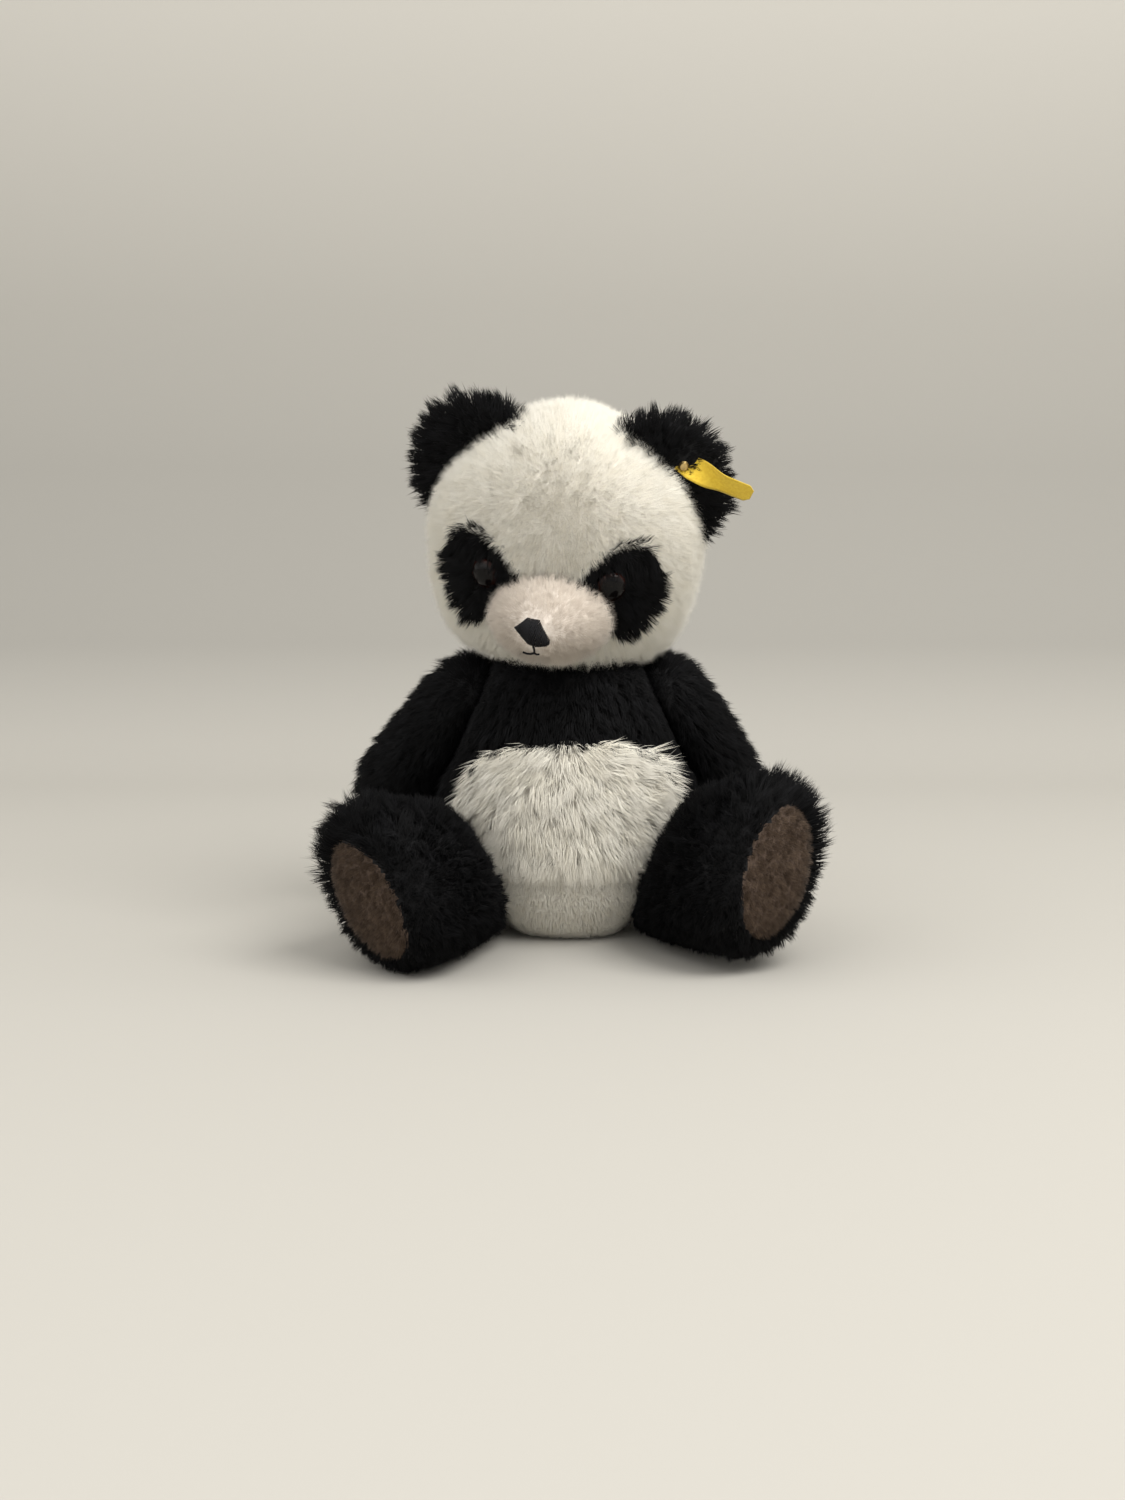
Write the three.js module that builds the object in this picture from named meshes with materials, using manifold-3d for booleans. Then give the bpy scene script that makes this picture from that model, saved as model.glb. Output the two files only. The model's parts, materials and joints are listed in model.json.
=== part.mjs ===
// A jointed plush panda, sitting: stuffed skins on plastic disc joints at the neck, shoulders and hips.
// Millimetres, +Z up, the panda faces -Y. Left and right are the panda's own, so its left is +X.
// The origin is the middle of the flat seat that the bean bag gives the torso.
// A skin's outer face is where a hand feels the pile once it is pressed down.
import * as THREE from "three";
import { mergeVertices } from "three/addons/utils/BufferGeometryUtils.js";
import Module from "manifold-3d";

const wasm = await Module();
wasm.setup();

// ---------- driving dimensions ----------
const SKIN = 3.2; // backing cloth with its pressed pile
const GAP = 0.3; // between pieces that touch
const JOINT_GAP = 1.2; // between two skins that turn on each other

const HEAD = { centre: [-1, -8, 176.5], radii: [57.5, 49.5, 54], lean: 22, list: 3, turn: -9 };
const PEAR = { crown: 1.3, jowl: 0.34 }; // how fast the head narrows above its middle, and below it
const MUZZLE = { centre: [2, -42, -20], radii: [24.5, 30, 17.5] };
const EYE = { across: 25.5, drop: -5, radius: 6.6, dome: 4.2, stem: 1.6, stemLength: 9 };
const EAR = { across: 37.5, forward: 3, up: 24, radius: 30.5, thickness: 11, toeOut: 14 };
const NOSE = { across: -1.5, width: 15, height: 12, depth: 5, roll: 14 };
const TAG = { width: 10.4, length: 34, thickness: 0.6, droop: 27 };

const TORSO_HEIGHT = 154;
const NECK_DROP = 47; // head centre to the flat where the head turns on the torso
const SHOULDER = { point: [39.5, 6, 100.5], axis: [0.905, 0, 0.425] };
const HIP = { point: [40.6, -10, 26], axis: [0.83, -0.19, -0.52] };
const POST = 4; // radius of every joint's post
const DISC = { neck: 13, shoulder: 11, hip: 15 };
const DISC_THICKNESS = 2.4;

const rad = THREE.MathUtils.degToRad;
const vec = (x, y, z) => new THREE.Vector3(x, y, z);
const vecOf = (list) => vec(...list);

// ---------- solids ----------
function solid(geometry) {
  const bare = geometry.index ? geometry.toNonIndexed() : geometry.clone();
  for (const name of Object.keys(bare.attributes)) if (name !== "position") bare.deleteAttribute(name);
  const merged = mergeVertices(bare, 1e-4);
  const vertProperties = new Float32Array(merged.attributes.position.array);
  const triVerts = new Uint32Array(merged.index.array);
  return new wasm.Manifold(new wasm.Mesh({ numProp: 3, vertProperties, triVerts }));
}

function geometryOf(body) {
  const { numProp, vertProperties, triVerts, numVert } = body.getMesh();
  const points = new Float32Array(numVert * 3);
  for (let i = 0; i < numVert; i++) {
    points.set(vertProperties.subarray(i * numProp, i * numProp + 3), i * 3);
  }
  const geometry = new THREE.BufferGeometry();
  geometry.setAttribute("position", new THREE.BufferAttribute(points, 3));
  geometry.setIndex(new THREE.BufferAttribute(new Uint32Array(triVerts), 1));
  geometry.computeVertexNormals();
  return geometry;
}

// A sphere whose poles become the two ends of a soft piece. place(t, a) says where its point goes:
// t runs 0 to 1 from end to end, and a is the angle round it.
function moulded(around, along, place) {
  const geometry = new THREE.SphereGeometry(1, around, along);
  const at = geometry.attributes.position;
  for (let i = 0; i < at.count; i++) {
    const t = Math.acos(THREE.MathUtils.clamp(at.getY(i), -1, 1)) / Math.PI;
    const p = place(t, Math.atan2(at.getZ(i), at.getX(i)));
    at.setXYZ(i, p.x, p.y, p.z);
  }
  return solid(geometry);
}

function ellipsoid(centre, radii, inset = 0, around = 24, along = 14) {
  return moulded(around, along, (t, a) => {
    const ring = Math.sin(t * Math.PI);
    return vec(
      centre[0] + (radii[0] - inset) * ring * Math.cos(a),
      centre[1] - (radii[1] - inset) * ring * Math.sin(a),
      centre[2] + (radii[2] - inset) * Math.cos(t * Math.PI),
    );
  });
}

// Everything on the side that the normal points to.
function halfSpace(point, normal, size = 600) {
  const box = new THREE.BoxGeometry(size, size, size).translate(0, 0, size / 2);
  box.applyQuaternion(new THREE.Quaternion().setFromUnitVectors(vec(0, 0, 1), normal));
  return solid(box.translate(point.x, point.y, point.z));
}

// A cylinder from one height to another on +Z.
function rod(radius, from, to, around = 12) {
  const bar = new THREE.CylinderGeometry(radius, radius, to - from, around);
  return solid(bar.rotateX(Math.PI / 2).translate(0, 0, (from + to) / 2));
}

function lathe(profile, around = 12) {
  const points = profile.map(([r, h]) => new THREE.Vector2(r, h));
  return solid(new THREE.LatheGeometry(points, around).rotateX(Math.PI / 2));
}

const turned = (body, matrix) => body.transform(matrix.elements);
const largest = (body) => body.decompose().sort((a, b) => b.volume() - a.volume())[0];
const hollow = (make) => make(0).subtract(make(SKIN));

// A straight extrusion on Y of an outline in X and Z, smoothed through its points.
function panelCutter(points, from, to, steps) {
  const curve = new THREE.SplineCurve([...points, points[0]].map(([x, z]) => new THREE.Vector2(x, z)));
  const shape = new THREE.Shape(curve.getPoints(steps).slice(0, -1));
  const block = new THREE.ExtrudeGeometry(shape, { depth: to - from, bevelEnabled: false });
  return solid(block.rotateX(Math.PI / 2).translate(0, to, 0));
}

// ---------- frames ----------
function frame(parent, point, quaternion) {
  const group = new THREE.Group();
  group.position.copy(point);
  if (quaternion) group.quaternion.copy(quaternion);
  parent.add(group);
  return group;
}

const panda = new THREE.Group();
const upright = new THREE.Quaternion().setFromEuler(new THREE.Euler(rad(HEAD.lean), rad(HEAD.list), 0));
const neckAxis = vec(0, 0, 1).applyQuaternion(upright);
const headTurn = new THREE.Quaternion()
  .setFromAxisAngle(neckAxis, rad(HEAD.turn))
  .multiply(upright);
const neckPoint = vecOf(HEAD.centre).addScaledVector(neckAxis, -NECK_DROP);
const head = frame(panda, vecOf(HEAD.centre), headTurn);

const mirrored = ([x, y, z], side) => vec(side * x, y, z);
const limbs = [
  { side: 1, name: "left" },
  { side: -1, name: "right" },
];

// ---------- materials ----------
const material = (color, roughness, metalness = 0) =>
  new THREE.MeshStandardMaterial({ color, roughness, metalness });
const WHITE_PLUSH = material(0xe9e4d8, 0.95);
const BELLY_PLUSH = material(0xe6e1d6, 0.95);
const BLACK_PLUSH = material(0x0b0c0e, 0.9);
const BROWN_PLUSH = material(0x5b4a3e, 0.95);
const FIBRE = material(0xf4f3ef, 1);
const PELLET_BAG = material(0xd9d5c8, 0.9);
const JOINT_PLASTIC = material(0xe7e6e0, 0.5);
const EYE_PLASTIC = material(0x1a0d08, 0.1);
const THREAD = material(0x101114, 0.8);
const RIBBON = material(0xf2d13a, 0.7);
const BRASS = material(0xb08d4a, 0.35, 1);

function piece(parent, name, body, look) {
  const mesh = new THREE.Mesh(geometryOf(body), look);
  mesh.name = name;
  parent.add(mesh);
  return mesh;
}

// ---------- joint hardware ----------
// The disc and its post ride in the limb and the post points into the torso, along -Z of the joint's
// frame. The plain washer lies inside the torso, and the lock ring is pushed on to the post behind it.
const FACE = JOINT_GAP / 2 + SKIN + GAP; // a disc or a washer lies just inside its skin
const POST_END = -FACE - 11;
const WASHER_TOP = -FACE;
const LOCK_TOP = WASHER_TOP - DISC_THICKNESS - GAP;

function discAndPost(radius) {
  const rounded = [
    [0, POST_END], [POST - 0.8, POST_END], [POST, POST_END + 1.2], [POST, FACE], [radius, FACE],
    [radius, FACE + DISC_THICKNESS - 0.8], [radius - 0.8, FACE + DISC_THICKNESS], [0, FACE + DISC_THICKNESS],
  ];
  return lathe(rounded, 12);
}

function ring(outer, top, thickness) {
  return rod(outer, top - thickness, top, 12).subtract(rod(POST + GAP, top - 20, top + 20));
}

const postBore = () => rod(POST + 0.5, -30, FACE + 1);
const limbCavity = (radius) => rod(radius + 0.8, -30, FACE + DISC_THICKNESS + 0.5);
const torsoCavity = (radius) =>
  rod(radius + 0.8, LOCK_TOP - 4.5, 20).add(rod(POST + 1, POST_END - 1.5, 20));

// The frame of a joint: origin where the two skins meet, +Z along the axis into the limb.
function jointFrame(parent, point, axis) {
  return frame(parent, point, new THREE.Quaternion().setFromUnitVectors(vec(0, 0, 1), axis));
}

function addJointHardware(parent, label, radius) {
  piece(parent, `${label}_disc_and_post`, discAndPost(radius), JOINT_PLASTIC);
  piece(parent, `${label}_washer`, ring(radius, WASHER_TOP, DISC_THICKNESS), JOINT_PLASTIC);
  piece(parent, `${label}_lock_ring`, ring(POST + 3.5, LOCK_TOP, 3), JOINT_PLASTIC);
}

// Moves a solid out of a joint's frame into the frame of the group that its mesh will hang in.
function fromJoint(body, joint, home) {
  joint.updateWorldMatrix(true, false);
  home.updateWorldMatrix(true, false);
  return turned(body, home.matrixWorld.clone().invert().multiply(joint.matrixWorld));
}

// ---------- torso ----------
// Half-width, half-depth and middle of the torso at a height. It leans back a little as it rises.
const TORSO_STATIONS = [
  [0, 24, 22, 2], [6, 36, 34, 2], [20, 48, 45, 3], [40, 54.5, 49.5, 4], [60, 55.5, 50.5, 5],
  [80, 53, 47.5, 6], [100, 50, 42.5, 7], [118, 46, 38, 8], [136, 38, 33, 9], [TORSO_HEIGHT, 0, 0, 10],
];

function torsoAt(z) {
  const upper = Math.max(1, TORSO_STATIONS.findIndex(([height]) => height >= z));
  const low = TORSO_STATIONS[upper - 1];
  const high = TORSO_STATIONS[upper];
  const share = (z - low[0]) / (high[0] - low[0]);
  return low.map((value, i) => value + share * (high[i] - value));
}

function torsoSolid(inset) {
  const sink = 4; // the egg is moulded lower than the floor, and the floor then cuts the flat seat
  const body = moulded(20, 12, (t, a) => {
    const z = (TORSO_HEIGHT + sink) * (1 + Math.cos(t * Math.PI)) / 2 - sink;
    const [, wide, deep, middle] = torsoAt(Math.max(0, z));
    const round = t > 0.9 ? Math.sin(((1 - t) / 0.1) * (Math.PI / 2)) : 1;
    const shrink = Math.max(0, 1 - inset / 45);
    return vec(wide * round * shrink * Math.cos(a), middle - deep * round * shrink * Math.sin(a), z);
  });
  return body
    .subtract(halfSpace(vec(0, 0, inset), vec(0, 0, -1)))
    .subtract(halfSpace(neckPoint.clone().addScaledVector(neckAxis, -JOINT_GAP / 2 - inset), neckAxis))
    .subtract(limbs.reduce((all, { side }) => {
      for (const { point, axis } of [SHOULDER, HIP]) {
        const normal = mirrored(axis, side).normalize();
        const cut = halfSpace(mirrored(point, side).addScaledVector(normal, -JOINT_GAP / 2 - inset), normal);
        all = all ? all.add(cut) : cut;
      }
      return all;
    }, null));
}

// The black yoke ends at this seam, which arches up over the belly and drops steeply under the arms.
// Each point is a distance from the middle and a height over the seam's.
const YOKE_SEAM = 84;
const YOKE_EDGE = [[0, 3], [18, 1.5], [30, -1], [35, -4], [42, -15], [48, -27], [55, -42], [200, -60]];
const SIDE_SEAM = 43;

function yokeRegion(raise) {
  const left = YOKE_EDGE.map(([x, z]) => new THREE.Vector2(x, YOKE_SEAM + z + raise));
  const right = YOKE_EDGE.slice(1).map(([x, z]) => new THREE.Vector2(-x, YOKE_SEAM + z + raise));
  const shape = new THREE.Shape([
    ...right.reverse(), ...left, new THREE.Vector2(200, 300), new THREE.Vector2(-200, 300),
  ]);
  const block = new THREE.ExtrudeGeometry(shape, { depth: 400, bevelEnabled: false });
  return solid(block.rotateX(Math.PI / 2).translate(0, 200, 0));
}

function bellyRegion(grow) {
  const half = SIDE_SEAM + grow;
  const box = new THREE.BoxGeometry(2 * half, 200, 400).translate(0, -100 - 8 + grow, 0);
  return solid(box);
}

const joints = { neck: jointFrame(panda, neckPoint, neckAxis) };
for (const { side, name } of limbs) {
  joints[`shoulder_${name}`] =
    jointFrame(panda, mirrored(SHOULDER.point, side), mirrored(SHOULDER.axis, side).normalize());
  joints[`hip_${name}`] = jointFrame(panda, mirrored(HIP.point, side), mirrored(HIP.axis, side).normalize());
}
const discOf = (label) => DISC[label.split("_")[0]];

// The bag of pellets lies in the bottom of the torso, in a hollow of the filling that is open below.
const bagShape = (grow) => ellipsoid([0, 4, 12], [25 + grow, 30 + grow, 12 + grow], 0, 14, 8);
const bagFloor = halfSpace(vec(0, 0, SKIN + 2 * GAP), vec(0, 0, -1));

function buildTorso() {
  const bores = Object.values(joints).map((joint) => fromJoint(postBore(), joint, panda));
  const shell = bores.reduce((body, bore) => body.subtract(bore), hollow(torsoSolid));
  piece(panda, "torso_yoke_skin", shell.intersect(yokeRegion(GAP / 2)), BLACK_PLUSH);
  const lower = shell.subtract(yokeRegion(-GAP / 2));
  piece(panda, "belly_panel", lower.intersect(bellyRegion(-GAP / 2)), BELLY_PLUSH);
  piece(panda, "back_and_side_panel", lower.subtract(bellyRegion(GAP / 2)), BELLY_PLUSH);

  let filling = torsoSolid(SKIN + GAP).subtract(bagShape(GAP));
  for (const [label, joint] of Object.entries(joints)) {
    filling = filling.subtract(fromJoint(torsoCavity(discOf(label)), joint, panda));
  }
  piece(panda, "torso_filling", largest(filling), FIBRE);
  piece(panda, "bean_bag", bagShape(0).subtract(bagFloor), PELLET_BAG);
  const tail = ellipsoid([0, 0, 0], [11, 10, 10], 0, 12, 8);
  const seated = tail.translate([0, 57, 26]).subtract(torsoSolid(0).translate([0, GAP, 0]));
  piece(panda, "tail", largest(seated), BELLY_PLUSH);
}

// ---------- arms ----------
// The arm swings in its joint's plane, and its far end splays out of that plane.
const ARM = { root: 18.5, wrist: 17.5, length: 58, back: 20, splay: { left: 8, right: 15 }, bulge: 0.8, out: 3 };

function armSolid(side, inset) {
  const axis = mirrored(SHOULDER.axis, side).normalize();
  const point = mirrored(SHOULDER.point, side);
  const down = vec(0, Math.sin(rad(ARM.back)), -Math.cos(rad(ARM.back)));
  down.addScaledVector(axis, -down.dot(axis)).normalize();
  down.addScaledVector(axis, Math.tan(rad(side > 0 ? ARM.splay.left : ARM.splay.right)));
  down.normalize();
  const across = axis.clone().addScaledVector(down, -axis.dot(down)).normalize();
  const third = down.clone().cross(across);
  const start = point.clone().addScaledVector(axis, ARM.out);
  const body = moulded(14, 9, (t, a) => {
    const reach = -ARM.root + (ARM.root + ARM.length + ARM.wrist) * (1 - Math.cos(t * Math.PI)) / 2;
    const share = THREE.MathUtils.clamp(reach / ARM.length, 0, 1);
    const radius = THREE.MathUtils.lerp(ARM.root, ARM.wrist, share) + ARM.bulge * Math.sin(share * Math.PI);
    const past = reach < 0 ? -reach / ARM.root : Math.max(0, (reach - ARM.length) / ARM.wrist);
    const close = Math.sqrt(Math.max(0, 1 - past * past));
    const ringRadius = Math.max(0, radius - inset) * close;
    const kept = THREE.MathUtils.clamp(reach, -ARM.root + inset, ARM.length + ARM.wrist - inset);
    return start.clone()
      .addScaledVector(down, kept)
      .addScaledVector(across, ringRadius * Math.cos(a))
      .addScaledVector(third, ringRadius * Math.sin(a));
  });
  const joint = point.clone().addScaledVector(axis, JOINT_GAP / 2 + inset);
  return body.subtract(halfSpace(joint, axis.clone().negate()));
}

// ---------- legs ----------
// The foot is turned out, tipped up and rolled outwards by degrees that differ a little from side to side.
const LEG = { root: [48, -12, 26], thigh: 28.5, rear: 24 };
const PAD = { border: 7.5, outwards: 4 };
const FEET = {
  left: { sole: [80, -94, 42], yaw: 32, tip: -4, roll: 17, half: [24.5, 34] },
  right: { sole: [79, -96, 32.5], yaw: 44, tip: -10, roll: 36, half: [26, 32.5] },
};

function legFrame(side, foot) {
  const root = mirrored(LEG.root, side);
  const sole = mirrored(foot.sole, side);
  const out = side * Math.sin(rad(foot.yaw));
  const normal = vec(out, -Math.cos(rad(foot.yaw)), Math.sin(rad(foot.tip))).normalize();
  return { root, sole, normal, start: sole.clone().sub(root).normalize() };
}

function legSolid(side, foot, inset) {
  const { root, sole, normal, start } = legFrame(side, foot);
  const reach = sole.distanceTo(root);
  const total = LEG.rear + reach;
  const body = moulded(16, 10, (t, a) => {
    const along = total * (1 - Math.cos(t * Math.PI)) / 2 - LEG.rear;
    const share = THREE.MathUtils.clamp(along / reach, 0, 1);
    const turn = share * share;
    const heading = start.clone().lerp(normal, turn).normalize();
    const level = vec(-heading.y, heading.x, 0).normalize().multiplyScalar(side);
    const roll = new THREE.Quaternion().setFromAxisAngle(heading, -side * rad(foot.roll) * turn);
    const wide = level.clone().multiplyScalar(side).applyQuaternion(roll);
    const tall = heading.clone().cross(wide);
    const grow = THREE.MathUtils.smoothstep(share, 0.35, 1);
    const halfWide = THREE.MathUtils.lerp(LEG.thigh, foot.half[0], grow) - inset;
    const halfTall = THREE.MathUtils.lerp(LEG.thigh - 1, foot.half[1], grow) - inset;
    const past = along < 0 ? -along / LEG.rear : Math.max(0, (along - reach + 11) / 11);
    const close = Math.sqrt(Math.max(0, 1 - past ** (along < 0 ? 2 : 2.4)));
    const square = 2 + 1.2 * THREE.MathUtils.smoothstep(share, 0.05, 0.3) * (1 - grow);
    const fold = (Math.abs(Math.cos(a)) ** square + Math.abs(Math.sin(a)) ** square) ** (-1 / square);
    const kept = THREE.MathUtils.clamp(along, -LEG.rear + inset, reach - inset);
    const atSole = sole.clone().addScaledVector(normal, kept - reach);
    return root.clone().addScaledVector(start, kept).lerp(atSole, turn)
      .addScaledVector(wide, halfWide * close * fold * Math.cos(a))
      .addScaledVector(tall, halfTall * close * fold * Math.sin(a));
  });
  const axis = mirrored(HIP.axis, side).normalize();
  const hip = mirrored(HIP.point, side).addScaledVector(axis, JOINT_GAP / 2 + inset);
  return body
    .subtract(halfSpace(hip, axis.negate()))
    .subtract(halfSpace(vec(0, 0, inset), vec(0, 0, -1)));
}

// The sole's oval patch, as a cutter along the sole's normal.
function padCutter(side, foot, grow) {
  const { sole, normal } = legFrame(side, foot);
  const depth = 14;
  const oval = new THREE.CylinderGeometry(1, 1, depth, 20).rotateX(Math.PI / 2);
  oval.scale(foot.half[0] - PAD.border + grow, foot.half[1] - PAD.border + grow, 1);
  oval.translate(side * PAD.outwards, 0, 0);
  const wide = vec(-normal.y, normal.x, 0).normalize();
  const tall = normal.clone().cross(wide);
  const basis = new THREE.Matrix4().makeBasis(wide, tall, normal);
  const roll = new THREE.Matrix4().makeRotationZ(-side * rad(foot.roll));
  const place = new THREE.Matrix4().makeTranslation(sole.x, sole.y, sole.z).multiply(basis).multiply(roll);
  return turned(solid(oval), place);
}

function buildLimb(kind, label, make, looks) {
  const joint = joints[label];
  const radius = discOf(label);
  const shell = hollow(make).subtract(fromJoint(postBore(), joint, panda));
  const filling = make(SKIN + GAP).subtract(fromJoint(limbCavity(radius), joint, panda));
  looks(shell);
  piece(panda, `${kind}_filling`, filling, FIBRE);
}

function buildLimbs() {
  for (const { side, name } of limbs) {
    buildLimb(`arm_${name}`, `shoulder_${name}`, (inset) => armSolid(side, inset), (shell) =>
      piece(panda, `arm_${name}_skin`, shell, BLACK_PLUSH));
    const foot = FEET[name];
    buildLimb(`leg_${name}`, `hip_${name}`, (inset) => legSolid(side, foot, inset), (shell) => {
      piece(panda, `leg_${name}_skin`, shell.subtract(padCutter(side, foot, GAP / 2)), BLACK_PLUSH);
      piece(panda, `foot_pad_${name}`, largest(shell.intersect(padCutter(side, foot, -GAP / 2))), BROWN_PLUSH);
    });
  }
}

// ---------- head ----------
// From here the pieces are in the head's own frame: origin at its middle, facing -Y.
// The head is a pear: its outline narrows fast towards the crown and stays full down to the neck.
const headNarrowing = (share) => (1 - share ** 2) ** ((share > 0 ? PEAR.crown : PEAR.jowl) / 2);

function headForm(inset) {
  const [a, b, c] = HEAD.radii.map((radius) => radius - inset);
  return moulded(20, 14, (t, angle) => {
    const ring = t > 0 && t < 1 ? headNarrowing(Math.cos(t * Math.PI)) : 0;
    return vec(a * ring * Math.cos(angle), -b * ring * Math.sin(angle), c * Math.cos(t * Math.PI));
  });
}

function headSolid(inset) {
  const neckFlat = vec(0, 0, -NECK_DROP + JOINT_GAP / 2 + inset);
  return headForm(inset).subtract(halfSpace(neckFlat, vec(0, 0, -1)));
}

// The left eye patch, in X and Z seen from the front: pointed towards the nose bridge, full below and outside.
const EYE_PATCH = [[11.5, -4], [19, 6], [31, 12], [41, 7], [45, -7], [41, -22], [32, -29], [24, -22], [18, -10]];
const outline = (side, grow) => {
  const share = 1 / EYE_PATCH.length;
  const middle = EYE_PATCH.reduce(([x, z], [px, pz]) => [x + px * share, z + pz * share], [0, 0]);
  const grown = EYE_PATCH.map(([x, z]) => {
    const away = new THREE.Vector2(x - middle[0], z - middle[1]);
    away.setLength(away.length() + grow);
    return [side * (middle[0] + away.x), middle[1] + away.y];
  });
  return side > 0 ? grown : grown.reverse();
};
const patchCutter = (side, grow) => panelCutter(outline(side, grow), -70, -8, 16);

const headSurface = (x, z) => {
  const [a, b, c] = HEAD.radii;
  const ring = headNarrowing(z / c);
  return -b * ring * Math.sqrt(Math.max(0, 1 - (x / (a * ring)) ** 2));
};

function eyeFrame(side) {
  const x = side * EYE.across;
  const y = headSurface(x, EYE.drop);
  const slopeX = headSurface(x + 0.5, EYE.drop) - headSurface(x - 0.5, EYE.drop);
  const slopeZ = headSurface(x, EYE.drop + 0.5) - headSurface(x, EYE.drop - 0.5);
  const outwards = vec(slopeX, -1, slopeZ).normalize();
  return frame(head, vec(x, y, EYE.drop), new THREE.Quaternion().setFromUnitVectors(vec(0, 0, 1), outwards));
}

// A domed safety eye on a stem, with its rim resting on the pile.
function eyeBody() {
  const arc = [0, 1, 2, 3, 4].map((i) => {
    const angle = (i / 4) * (Math.PI / 2);
    return [EYE.radius * Math.cos(angle), GAP + 0.8 + EYE.dome * Math.sin(angle)];
  });
  arc[arc.length - 1][0] = 0;
  return lathe([[0, -EYE.stemLength], [EYE.stem, -EYE.stemLength], [EYE.stem, GAP], [EYE.radius, GAP], ...arc], 14);
}

const WASHER_DEPTH = -(SKIN + 2.4); // the head's inner face is hollow towards the washer, so it bears at its rim
const eyeWasher = () => rod(5.5, WASHER_DEPTH - 1.2, WASHER_DEPTH).subtract(rod(EYE.stem + GAP, -20, 5));
const eyeBore = () => rod(EYE.stem + 0.4, -30, 20, 14);
const eyeCavity = () => rod(6.2, WASHER_DEPTH - 2, 20).add(rod(EYE.stem + 0.8, -EYE.stemLength - 1, 20, 14));

function earFrame(side) {
  const facing = new THREE.Quaternion().setFromAxisAngle(vec(0, 0, 1), side * rad(EAR.toeOut));
  return frame(head, vec(side * EAR.across, -EAR.forward, EAR.up), facing);
}

function buildEar(side, name, seat) {
  const flap = ellipsoid([0, 0, 0], [EAR.radius, EAR.thickness / 2, EAR.radius], 0, 18, 7);
  piece(seat, `ear_${name}`, largest(flap.subtract(fromJoint(headForm(-GAP), head, seat))), BLACK_PLUSH);
}

// The woven tag hangs from a rivet through the left ear and curls forward as it reaches past the rim.
const RIVET = { x: 10, z: 12, head: 2.2, post: 1 };

function buildTag(seat) {
  const ear = seat.children.find((mesh) => mesh.name === "ear_left");
  const forwards = new THREE.Quaternion().setFromAxisAngle(vec(1, 0, 0), Math.PI / 2);
  const place = frame(seat, vec(RIVET.x, 0, RIVET.z), forwards);
  const fromMiddle = Math.hypot(RIVET.x, RIVET.z) / EAR.radius;
  const halfEar = (EAR.thickness / 2) * Math.sqrt(1 - fromMiddle ** 2);
  const lift = halfEar + 1;
  const under = lift + TAG.thickness / 2 + GAP;
  const rivet = lathe([
    [0, -halfEar - 1.4], [RIVET.post, -halfEar - 1.4], [RIVET.post, under],
    [RIVET.head, under], [RIVET.head * 0.7, under + 1], [0, under + 1.3],
  ], 16);
  piece(place, "tag_rivet", rivet, BRASS);
  const cap = rod(RIVET.head, -halfEar - 1.2, -halfEar - 0.4, 16).subtract(rod(RIVET.post + GAP, -20, 20, 12));
  piece(place, "tag_rivet_washer", cap, BRASS);

  const bore = fromJoint(rod(RIVET.post + GAP, -30, 30, 12), place, seat);
  ear.geometry = geometryOf(solid(ear.geometry).subtract(bore));

  // The strip's edge-on profile, drawn along its middle line and given a thickness, then pushed to its width.
  const rise = [[-3, 0.3], [0, 0], [6, 0.8], [14, 2.6], [22, 4.4], [TAG.length - 3, 5]];
  const line = new THREE.SplineCurve(rise.map(([x, z]) => new THREE.Vector2(x, lift + z)));
  const steps = Array.from({ length: 13 }, (_, i) => i / 12);
  const edge = (side) => steps.map((t) => {
    const along = line.getTangent(t);
    return line.getPoint(t).add(new THREE.Vector2(-along.y, along.x).multiplyScalar(side * TAG.thickness / 2));
  });
  const profile = new THREE.Shape([...edge(-1), ...edge(1).reverse()]);
  const block = new THREE.ExtrudeGeometry(profile, { depth: TAG.width, bevelEnabled: false });
  const strip = solid(block.rotateX(Math.PI / 2).translate(0, TAG.width / 2, 0));
  const tag = piece(place, "ear_tag", strip.subtract(rod(RIVET.post + GAP, -30, 30, 12)), RIBBON);
  tag.rotation.z = -rad(TAG.droop);
}

function muzzleSolid(inset) {
  return ellipsoid(MUZZLE.centre, MUZZLE.radii, inset, 16, 10);
}

const muzzleFront = (x, z) => {
  const [a, b, c] = MUZZLE.radii;
  const dx = x - MUZZLE.centre[0];
  const dz = z - MUZZLE.centre[2];
  return MUZZLE.centre[1] - b * Math.sqrt(Math.max(0, 1 - (dx / a) ** 2 - (dz / c) ** 2));
};

const NOSE_HEIGHT = MUZZLE.centre[2] + 0.5;

// A stitched nose: a pad that is widest at its middle, flat on top and narrow below, and sits a little rolled.
function buildNose() {
  const [w, h] = [NOSE.width / 2, NOSE.height / 2];
  const corners = [
    [-w, h * 0.15], [-w * 0.55, h * 0.85], [0, h], [w * 0.55, h * 0.85], [w, h * 0.15],
    [w * 0.5, -h * 0.75], [0, -h], [-w * 0.5, -h * 0.75], [-w, h * 0.15],
  ];
  const edge = new THREE.SplineCurve(corners.map(([x, z]) => new THREE.Vector2(x, z)));
  const shape = new THREE.Shape(edge.getPoints(16).slice(0, -1));
  const block = new THREE.ExtrudeGeometry(shape, {
    depth: NOSE.depth - 2, bevelThickness: 1, bevelSize: 1, bevelOffset: -1, bevelSegments: 2,
  });
  block.rotateX(Math.PI / 2).rotateY(rad(NOSE.roll));
  const front = muzzleFront(NOSE.across, NOSE_HEIGHT);
  const body = solid(block.translate(NOSE.across, front + 3.4, NOSE_HEIGHT));
  piece(head, "nose", body.subtract(muzzleSolid(-GAP)), THREAD);
}

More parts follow.
